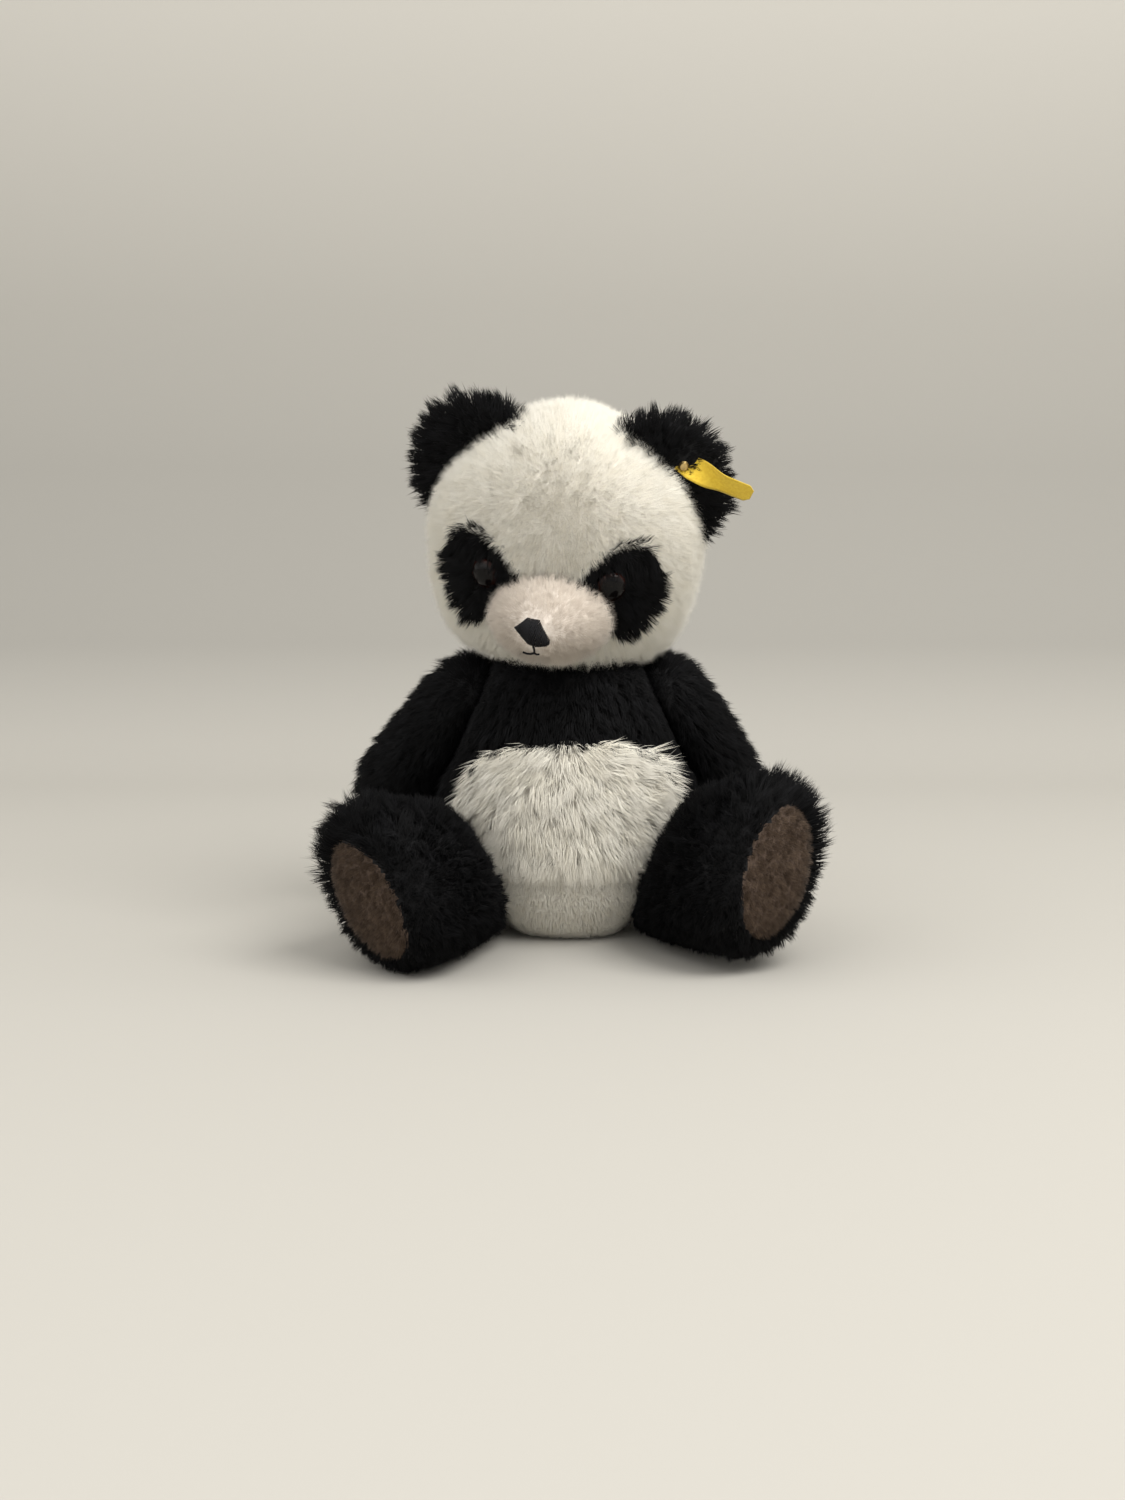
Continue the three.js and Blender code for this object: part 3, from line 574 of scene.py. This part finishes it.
# The head's own frame: across to its left, back, and up.
eye_centre = {side: node_points(f"eye_{side}").mean(0) for side, _ in SIDES}
eye_out = {side: unit(eye_centre[side] - node_points(f"eye_washer_{side}").mean(0)) for side, _ in SIDES}
head_across = unit(eye_centre["left"] - eye_centre["right"])
head_up = unit(np.array(JOINTS["neck_turn"]["axis"]))
head_up = unit(head_up - head_across * (head_up @ head_across))
head_back = np.cross(head_up, head_across)
head_middle = (node_points("head_skin").min(0) + node_points("head_skin").max(0)) / 2
nose_centre = node_points("nose").mean(0)
rivet_centre = node_points("tag_rivet").mean(0)


def eye_distance(points, side):
    """How far points lie from an eye's axis. Points behind the face count as far away."""
    away = points - eye_centre[side]
    behind = np.abs(away @ eye_out[side]) > 20 * MM
    return np.linalg.norm(np.cross(away, eye_out[side]), axis=1) + 1.0 * behind


def fur_head(rng):
    """Short dense pile, with longer eye patches whose upper edge falls over the eyes."""
    points, normals = sample(bodies["head"], DENSITY["head"], rng)
    panel = nearest_panel(points, list(HEAD_PANELS))
    ears = inside(points, bodies["ear_left"], 0.3 * MM) | inside(points, bodies["ear_right"], 0.3 * MM)
    hidden = inside(points, bodies["muzzle"], -0.5 * MM) | ears
    eye_gap = np.minimum(eye_distance(points, "left"), eye_distance(points, "right"))
    keep = ~hidden & (eye_gap > 5.6 * MM)
    neck = plane_clearance(points, "neck_turn", 8 * MM)
    front = -((points - head_middle) @ head_back)
    brow = smoothstep(25 * MM, 50 * MM, front)
    sweep = -head_up * (0.35 + 0.25 * brow)[:, None] + head_back * 0.35
    comb = tangent(sweep, normals)
    white = keep & (panel == 0)
    grow("head_pile", "head", "white_plush", "white", points[white], normals[white], comb[white],
         LENGTH["head"] * MM * (0.35 + 0.65 * neck[white]), rng, **STYLE["head"])
    for index, (side, _) in enumerate(SIDES, 1):
        patch = keep & (panel == index) & (rng.random(len(points)) < 0.55)
        from_eye = tangent(points[patch] - eye_centre[side], normals[patch])
        height = from_eye @ head_up
        above = smoothstep(0, 6 * MM, height) * (1 - smoothstep(9 * MM, 15 * MM, height))
        away = unit(from_eye) * smoothstep(4 * MM, 20 * MM, np.linalg.norm(from_eye, axis=1))[:, None]
        over = tangent(np.tile(head_up, (patch.sum(), 1)), normals[patch])
        lean = away * (0.9 * (1 - above))[:, None] - over * (1.05 * above)[:, None]
        grow(f"eye_patch_{side}_pile", "head", "black_plush", "black", points[patch], normals[patch], lean,
             LENGTH["eye_patch"] * MM * (1 + 0.1 * above), rng, **STYLE["eye_patch"])


def fur_muzzle(rng):
    """Short pile that parts round the nose and the mouth."""
    points, normals = sample(bodies["muzzle"], DENSITY["muzzle"], rng)
    nose_gap = np.linalg.norm(points - nose_centre, axis=1)
    stitches = node_points("mouth_stitch")
    tree = KDTree(len(stitches))
    for i, point in enumerate(stitches):
        tree.insert(point, i)
    tree.balance()
    mouth_gap = np.array([tree.find(point)[2] for point in points])
    keep = ~inside(points, bodies["head"], 0.5 * MM) & (nose_gap > 5.0 * MM)
    away = unit(tangent(points - nose_centre, normals))
    near_nose = smoothstep(3 * MM, 12 * MM, nose_gap).clip(0.4, 1)
    length = LENGTH["muzzle"] * MM * near_nose * smoothstep(0, 4 * MM, mouth_gap).clip(0.25, 1)
    grow("muzzle_pile", "head", "white_plush", "pink", points[keep], normals[keep], away[keep] * 0.5,
         length[keep], rng, **STYLE["muzzle"])


def fur_ear(side, rng):
    """Long pile pointing out from the head, pressed flat under the tag."""
    obj = bodies[f"ear_{side}"]
    points, normals = sample(obj, DENSITY["ear"], rng)
    keep = ~inside(points, bodies["head"], 0.3 * MM)
    points, normals = points[keep], normals[keep]
    centre = node_points(f"ear_{side}").mean(0)
    outward = unit(centre - head_middle)
    away = unit(tangent(0.6 * unit(points - centre) + 0.5 * outward, normals))
    length = np.full(len(points), LENGTH["ear"] * MM)
    if side == "left":
        tag = node_points("ear_tag")
        along = unit(tag[tag[:, 0].argmax()] - rivet_centre)
        ahead = (points - rivet_centre) @ along
        gap = np.linalg.norm(points - rivet_centre - np.outer(ahead, along), axis=1)
        under = (gap < 7.5 * MM) & (ahead > -4 * MM) & (normals @ head_back < 0)
        length[under] = LENGTH["under_tag"] * MM
    grow(f"ear_{side}_pile", "head", "black_plush", "black", points, normals, away * 0.75, length, rng,
         **STYLE["ear"])


SHORN_BELOW = 34 * MM  # the belly's pile is short and smooth under this height


def fur_torso(rng):
    """Black yoke, shaggy belly with a shorn seat, and white back."""
    points, normals = sample(bodies["torso"], DENSITY["torso"], rng)
    panel = nearest_panel(points, list(TORSO_PANELS))
    clear = plane_clearance(points, "neck_turn", 7 * MM)
    for name in JOINTS:
        if name != "neck_turn":
            clear = np.minimum(clear, plane_clearance(points, name, 6 * MM))
    seat = points[:, 2] > 1.5 * MM
    down = tangent(np.broadcast_to(DOWN, points.shape), normals)
    whorl = np.array([2 * MM, points[:, 1].min(), 90 * MM])
    radial = unit(tangent(points - whorl, normals) + 1e-6)
    swirl = np.cross(normals, radial)
    belly = (panel == 1) & seat
    upper = smoothstep(SHORN_BELOW - 7 * MM, SHORN_BELOW + 7 * MM, points[:, 2])
    uncut = LENGTH["shorn_belly"] + (LENGTH["belly"] - LENGTH["shorn_belly"]) * upper
    length = uncut * MM * (0.25 + 0.75 * clear)
    comb = (radial * 0.55 + down * 0.3 + swirl * 0.25) * (0.5 + 0.5 * upper)[:, None]
    shaggy = belly & (upper > 0.5)
    grow("belly_pile", "torso", "belly_plush", "white", points[shaggy], normals[shaggy], comb[shaggy],
         length[shaggy], rng, **STYLE["belly"])
    shorn = belly & (upper <= 0.5)
    grow("lower_belly_pile", "torso", "belly_plush", "white", points[shorn], normals[shorn], comb[shorn],
         length[shorn], rng, **STYLE["shorn_belly"])
    thinned = seat & (rng.random(len(points)) < 0.75)
    yoke = (panel == 0) & thinned
    grow("yoke_pile", "torso", "black_plush", "black", points[yoke], normals[yoke], down[yoke] * 0.9,
         LENGTH["yoke"] * MM * (0.2 + 0.8 * clear[yoke]), rng, **STYLE["yoke"])
    back = (panel == 2) & thinned
    grow("back_pile", "torso", "belly_plush", "white", points[back], normals[back], down[back] * 0.8,
         LENGTH["back"] * MM * (0.2 + 0.8 * clear[back]), rng, **STYLE["back"])


def long_axis(points, towards):
    """The direction in which these points stretch furthest, pointing the given way."""
    spread = np.linalg.svd(points - points.mean(0), full_matrices=False)[2][0]
    return spread if spread @ np.array(towards) > 0 else -spread


def fur_arm(side, rng):
    points, normals = sample(bodies[f"arm_{side}"], DENSITY["arm"], rng)
    axis = long_axis(node_points(f"arm_{side}_skin"), (0, 0, -1))
    clear = plane_clearance(points, f"shoulder_{side}_swing", 7 * MM)
    along = tangent(np.broadcast_to(axis, points.shape), normals)
    grow(f"arm_{side}_pile", f"arm_{side}", "black_plush", "black", points, normals, along * 0.7,
         LENGTH["arm"] * MM * (0.2 + 0.8 * clear), rng, **STYLE["arm"])


def fur_leg(side, rng):
    """Long pile with a crest of tufts at the outer top of the foot, and a short nap on the sole pad."""
    points, normals = sample(bodies[f"leg_{side}"], DENSITY["leg"], rng)
    skins = [f"leg_{side}_skin", f"foot_pad_{side}"]
    panel = nearest_panel(points, skins)
    pad = node_points(f"foot_pad_{side}")
    sole = pad.mean(0)
    facing = np.linalg.svd(pad - sole, full_matrices=False)[2][2]
    facing = facing if facing[1] < 0 else -facing
    reach = (points - sole) @ facing
    rim = smoothstep(-34 * MM, -4 * MM, reach)
    clear = plane_clearance(points, f"hip_{side}_swing", 6 * MM)
    axis = long_axis(node_points(skins[0]), (0, -1, 0))
    along = tangent(np.broadcast_to(axis, points.shape), normals)
    radial = points - sole
    radial = unit(radial - np.outer(radial @ facing, facing))
    outwards = np.sign(sole[0])
    crest = rim * smoothstep(0.1, 0.8, 0.75 * radial[:, 2] + 0.5 * outwards * radial[:, 0])
    comb = along * (0.7 - 0.35 * rim)[:, None] + tangent(radial, normals) * (0.5 * rim)[:, None]
    low = 1 - smoothstep(3 * MM, 16 * MM, points[:, 2])
    leg = (panel == 0) & (points[:, 2] > 1.0 * MM)
    length = (LENGTH["leg"] - 1.4 * rim + 5.2 * crest) * MM * (0.2 + 0.8 * clear) * (1 - 0.4 * low)
    grow(f"leg_{side}_pile", f"leg_{side}", "black_plush", "black", points[leg], normals[leg], comb[leg],
         length[leg], rng, **STYLE["leg"])
    thick_points, thick_normals = sample(bodies[f"leg_{side}"], DENSITY["foot_pad"], rng)
    dense = nearest_panel(thick_points, skins) == 1
    nap = tangent(np.broadcast_to([0.3, 0, -1.0], thick_points[dense].shape), thick_normals[dense])
    grow(f"foot_pad_{side}_pile", f"leg_{side}", "brown_plush", "brown", thick_points[dense],
         thick_normals[dense], nap * 0.5, np.full(dense.sum(), LENGTH["foot_pad"] * MM), rng,
         **STYLE["foot_pad"])


def fur_tail(rng):
    points, normals = sample(bodies["tail"], DENSITY["tail"], rng)
    keep = ~inside(points, bodies["torso"], 0.3 * MM)
    down = tangent(np.broadcast_to([0, 0.3, -1.0], points[keep].shape), normals[keep])
    grow("tail_pile", "torso", "belly_plush", "white", points[keep], normals[keep], down * 0.6,
         np.full(keep.sum(), LENGTH["tail"] * MM), rng, **STYLE["tail"])


fur_head(np.random.default_rng(11))
fur_muzzle(np.random.default_rng(12))
fur_torso(np.random.default_rng(13))
fur_tail(np.random.default_rng(14))
for seed, (side, _) in enumerate(SIDES):
    fur_ear(side, np.random.default_rng(20 + seed))
    fur_arm(side, np.random.default_rng(30 + seed))
    fur_leg(side, np.random.default_rng(40 + seed))


# ---------- hard pieces ----------
def turned_piece(name, profile, place, axis, segments=40):
    """A lathe of (radius, height) pairs about an axis."""
    rotation = Vector(axis).to_track_quat("Z", "Y").to_matrix().to_4x4()
    points, faces = [], []
    for radius, height in profile:
        for k in range(segments):
            angle = 2 * math.pi * k / segments
            points.append((radius * math.cos(angle), radius * math.sin(angle), height))
    for row in range(len(profile) - 1):
        for k in range(segments):
            a, b = row * segments + k, row * segments + (k + 1) % segments
            faces.append((a, b, b + segments, a + segments))
    mesh = bpy.data.meshes.new(name)
    mesh.from_pydata(points, [], faces)
    work = bmesh.new()
    work.from_mesh(mesh)
    bmesh.ops.remove_doubles(work, verts=work.verts, dist=1e-6)
    bmesh.ops.holes_fill(work, edges=work.edges)
    bmesh.ops.recalc_face_normals(work, faces=work.faces)
    work.to_mesh(mesh)
    work.free()
    mesh.transform(Matrix.Translation(place) @ rotation)
    mesh.shade_smooth()
    return new_object(name, mesh)


def eye_material():
    """Dark glossy plastic with a thin ring of reddish brown under the clear dome."""
    material, tree, shader = principled("eye_plastic", 0.12)
    radius, _ = uv_values(tree, "dome")
    stops = [(0.0, (0.002, 0.002, 0.002)), (0.72, (0.004, 0.003, 0.003)), (0.80, (0.010, 0.004, 0.003)),
             (0.92, (0.022, 0.006, 0.004)), (0.98, (0.003, 0.002, 0.002))]
    tree.links.new(ramp(tree, radius, stops), shader.inputs["Base Color"])
    shader.inputs["Specular IOR Level"].default_value = 0.16
    return material


EYE_RADIUS = 6.6 * MM
EYE_DOME = 4.2 * MM
EYE_RIM = 0.9 * MM  # from the dome's edge to the flat back, which is 0.4 mm narrower
EYE_STEM = {"radius": 1.6 * MM, "length": 10 * MM}


def make_eyes():
    look = eye_material()
    for side, _ in SIDES:
        axis = eye_out[side]
        points = node_points(f"eye_{side}")
        centre = eye_centre[side]
        top = ((points - centre) @ axis).max()
        base = centre + axis * (top - EYE_DOME)
        dome = [(EYE_RADIUS * math.cos(a), EYE_DOME * math.sin(a)) for a in np.linspace(0, math.pi / 2, 14)]
        profile = [(0.0, -EYE_STEM["length"]), (EYE_STEM["radius"], -EYE_STEM["length"]),
                   (EYE_STEM["radius"], -EYE_RIM), (EYE_RADIUS - 0.4 * MM, -EYE_RIM)] + dome
        eye = turned_piece(f"eye_{side}_dome", profile, Vector(base), axis)
        mesh = eye.data
        corners = np.array([loop.vertex_index for loop in mesh.loops])
        away = coordinates(mesh) - base
        radial = np.linalg.norm(away - np.outer(away @ axis, axis), axis=1) / EYE_RADIUS
        uv = np.stack([radial[corners], np.full(len(corners), 0.5)], axis=1).astype(np.float32)
        mesh.uv_layers.new(name="dome").data.foreach_set("uv", uv.ravel())
        mesh.materials.append(look)
        finished(eye, "head", "eye_plastic", f"eye_{side}")


def tube(points, radius, sides=8, taper=1.0):
    """Vertices and faces of a closed round tube along points, with ends that narrow by taper."""
    points = np.array(points, float)
    count = len(points)
    heading = unit(np.gradient(points, axis=0))
    reference = np.cross(heading[0], [0.31, 0.52, 0.79])
    rows = []
    for i in range(count):
        a = unit(reference - heading[i] * (reference @ heading[i]))
        b = np.cross(heading[i], a)
        reference = a
        size = radius * (taper if i in (0, count - 1) else 1.0)
        angles = 2 * np.pi * np.arange(sides) / sides
        rows.append(points[i] + size * (np.cos(angles)[:, None] * a + np.sin(angles)[:, None] * b))
    vertices = np.concatenate(rows)
    faces = []
    for i in range(count - 1):
        for k in range(sides):
            here, after = i * sides, (i + 1) * sides
            faces.append((here + k, here + (k + 1) % sides, after + (k + 1) % sides, after + k))
    faces.append(tuple(reversed(range(sides))))
    faces.append(tuple(range((count - 1) * sides, count * sides)))
    return vertices, faces


def joined_tubes(name, tubes):
    vertices, faces = [], []
    for points, shape in tubes:
        start = sum(len(v) for v in vertices)
        vertices.append(points)
        faces += [tuple(start + i for i in face) for face in shape]
    mesh = bpy.data.meshes.new(name)
    mesh.from_pydata(np.concatenate(vertices), [], faces)
    mesh.shade_smooth()
    return new_object(name, mesh)


muzzle_tree = surface_tree(bodies["muzzle"].data)


def on_muzzle(across, up, lift):
    """A point on the front of the muzzle, across and up from the nose's middle in the head's frame."""
    start = nose_centre + head_across * across + head_up * up - head_back * 30 * MM
    spot, normal, _, _ = muzzle_tree.ray_cast(Vector(start), Vector(head_back))
    return np.array(spot) + np.array(normal) * lift


NOSE_ROLL = -13


def rolled(across, up):
    """The nose and mouth sit a little rolled on the muzzle."""
    roll = math.radians(NOSE_ROLL)
    return across * math.cos(roll) - up * math.sin(roll), across * math.sin(roll) + up * math.cos(roll)


NOSE_TOP = ((-7.3, -4.0, 0.7, 7.6), (-0.8, 4.6, 5.8, -0.8))  # across and up, in millimetres, before the roll
NOSE_BOTTOM = ((-7.3, -0.3, 2.5, 6.3, 7.6), (-0.8, -4.9, -4.7, -3.0, -0.8))
STITCH = {"radius": 0.42 * MM, "spacing": 0.6}


def make_nose():
    """Satin stitches laid side by side over a small pad."""
    stitches = []
    for across in np.arange(-7.0, 7.4, STITCH["spacing"]):
        top = np.interp(across, *NOSE_TOP)
        bottom = np.interp(across, *NOSE_BOTTOM)
        rise = 1.0 + 2.6 * (1 - (across / 7.8) ** 2)
        route = []
        for t in np.linspace(0, 1, 9):
            x, up = rolled(across, top + (bottom - top) * t)
            route.append(on_muzzle(x * MM, up * MM, (rise * math.sin(math.pi * t) ** 0.5 - 0.3) * MM))
        stitches.append(tube(route, STITCH["radius"], sides=6))
    nose = joined_tubes("nose_stitches", stitches)
    nose.data.materials.append(THREAD)
    finished(nose, "head", "thread", "nose")


MOUTH = {  # across and up from the nose's middle, in millimetres
    "upright": [(0.9, -4.2), (1.3, -5.4), (1.2, -6.8), (1.0, -7.6)],
    "right_arm": [(1.2, -7.2), (-0.4, -8.2), (-2.0, -8.6), (-3.6, -8.3)],
    "left_arm": [(1.0, -7.0), (1.7, -7.7), (2.4, -7.8), (2.9, -7.5)],
}


def make_mouth():
    """Three thick threads below the nose."""
    threads = [tube([on_muzzle(x * MM, up * MM, 1.9 * MM) for x, up in spots], 0.45 * MM)
               for spots in MOUTH.values()]
    mouth = joined_tubes("mouth_threads", threads)
    mouth.data.materials.append(THREAD)
    finished(mouth, "head", "thread", "mouth_stitch")


RIBS = 75  # along the whole ribbon


def ribbon_material():
    """Woven yellow ribbon: fine ribs across it, and a firmer woven edge."""
    material, tree, shader = principled("woven_ribbon", 0.6)
    along, across = uv_values(tree, "weave")
    yellow = ramp(tree, noise(tree, 900), [(0.3, (0.80, 0.52, 0.025)), (0.7, (0.92, 0.66, 0.05))])
    edge = ramp(tree, across, [(0.0, (0.82, 0.82, 0.82)), (0.12, (1.0, 1.0, 1.0)), (0.88, (1.0, 1.0, 1.0)),
                               (1.0, (0.82, 0.82, 0.82))])
    tree.links.new(multiplied(tree, yellow, edge), shader.inputs["Base Color"])
    ribs = tree.nodes.new("ShaderNodeMath")
    ribs.operation = "SINE"
    scaled = tree.nodes.new("ShaderNodeMath")
    scaled.operation = "MULTIPLY"
    scaled.inputs[1].default_value = 2 * math.pi * RIBS
    tree.links.new(along, scaled.inputs[0])
    tree.links.new(scaled.outputs[0], ribs.inputs[0])
    bump = tree.nodes.new("ShaderNodeBump")
    bump.inputs["Strength"].default_value = 0.5
    bump.inputs["Distance"].default_value = 0.1 * MM
    tree.links.new(ribs.outputs[0], bump.inputs["Height"])
    tree.links.new(bump.outputs["Normal"], shader.inputs["Normal"])
    shader.inputs["Sheen Weight"].default_value = 0.2
    return material


TAG = {"width": 10.2 * MM, "length": 34 * MM, "thickness": 0.45 * MM, "past_rivet": 2.5 * MM, "curl": 1.1 * MM}
TAG_TWIST = {"start": -40, "turn": 72, "from": 0.1, "to": 0.65}  # degrees, and shares of the length


def make_tag():
    """The ribbon leaves the rivet almost on edge, twists over once and lifts as it passes the ear's rim."""
    corners = node_points("ear_tag")
    away = corners - rivet_centre
    far = corners[np.argsort(away @ away.mean(0))[-8:]].mean(0)
    along = unit(far - rivet_centre)
    front = -head_back
    front = unit(front - along * (front @ along))
    upward = np.cross(front, along)
    upward = upward if upward[2] > 0 else -upward
    start = rivet_centre + front * (away @ front).min()
    rows, columns = 44, 10
    grid = {1: [], -1: []}
    for i in range(rows + 1):
        s = i / rows
        rise = 1.2 + 3.0 * s - 0.8 * math.sin(2 * math.pi * s)
        centre = start + along * (TAG["length"] * s - TAG["past_rivet"]) + front * rise * MM
        turned = float(smoothstep(TAG_TWIST["from"], TAG_TWIST["to"], s))
        twist = math.radians(TAG_TWIST["start"] + TAG_TWIST["turn"] * turned)
        side_way = upward * math.cos(twist) + front * math.sin(twist)
        face = front * math.cos(twist) - upward * math.sin(twist)
        narrow = 1 - 0.35 * (1 - float(smoothstep(0.0, 0.2, s))) - 0.45 * float(smoothstep(0.9, 1.0, s)) ** 2
        for j in range(columns + 1):
            v = j / columns - 0.5
            curl = TAG["curl"] * (4 * v * v - 0.4) * math.sin(math.pi * min(1, s * 1.2)) ** 2
            middle = centre + side_way * TAG["width"] * narrow * v + face * curl
            for half in (1, -1):
                grid[half].append(middle + face * half * TAG["thickness"] / 2)
    points = np.array(grid[1] + grid[-1])
    across = columns + 1
    below = len(grid[1])
    faces = []
    for i in range(rows):
        for j in range(columns):
            a = i * across + j
            faces.append((a, a + 1, a + 1 + across, a + across))
            faces.append((below + a, below + a + across, below + a + 1 + across, below + a + 1))
    border = [*range(across)]
    border += [i * across + columns for i in range(1, rows + 1)]
    border += [rows * across + j for j in range(columns - 1, -1, -1)]
    border += [i * across for i in range(rows - 1, 0, -1)]
    for a, b in zip(border, border[1:] + border[:1]):
        faces.append((b, a, below + a, below + b))
    mesh = bpy.data.meshes.new("ear_ribbon")
    mesh.from_pydata(points, [], faces)
    work = bmesh.new()
    work.from_mesh(mesh)
    bmesh.ops.recalc_face_normals(work, faces=work.faces)
    work.to_mesh(mesh)
    work.free()
    spot = np.array([loop.vertex_index for loop in mesh.loops]) % below
    uv = np.stack([spot // across / rows, spot % across / columns], axis=1).astype(np.float32)
    mesh.uv_layers.new(name="weave").data.foreach_set("uv", uv.ravel())
    mesh.materials.append(ribbon_material())
    mesh.shade_smooth()
    finished(new_object("ear_ribbon", mesh), "head", "ribbon", "ear_tag")


make_eyes()
make_nose()
make_mouth()
make_tag()
for name, node in frame["nodes"].items():
    if name.endswith(("_disc_and_post", "_washer", "_lock_ring")) and not name.startswith("tag"):
        node.data.materials.clear()
        node.data.materials.append(PLASTIC)
    if name.startswith("tag_rivet"):
        node.data.materials.clear()
        node.data.materials.append(BRASS)
